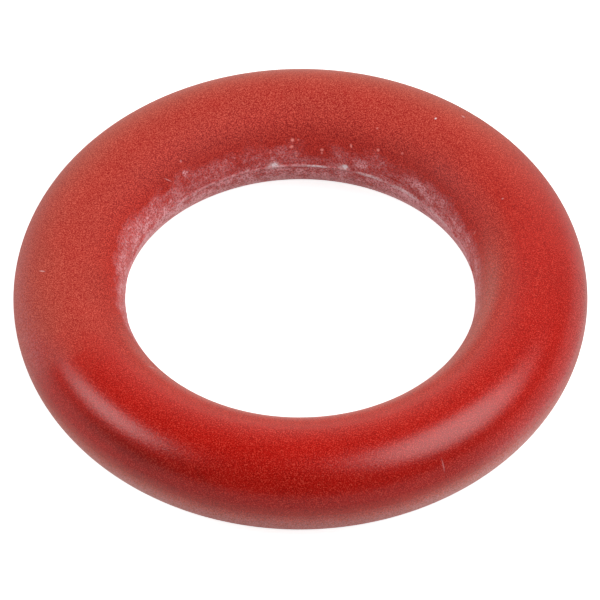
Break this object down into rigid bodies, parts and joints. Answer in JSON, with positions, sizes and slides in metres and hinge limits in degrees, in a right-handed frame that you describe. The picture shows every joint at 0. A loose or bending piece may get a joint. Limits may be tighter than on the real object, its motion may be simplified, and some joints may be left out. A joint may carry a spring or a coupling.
{
  "type": "silicone o-ring",
  "caption": "Solid round-section sealing ring in red silicone rubber, with the fine mould line round its inner and outer equator.",
  "frame": {"origin": "middle of the ring, on its axis, half way up its thickness", "axes": "+Z along the ring's axis; the ring is the same all round, so +X and +Y are free"},
  "size_m": [0.018, 0.018, 0.0034],
  "materials": {
    "silicone": "satin"
  },
  "bodies": {
    "root": {"o_ring": "silicone"}
  },
  "joints": []
}
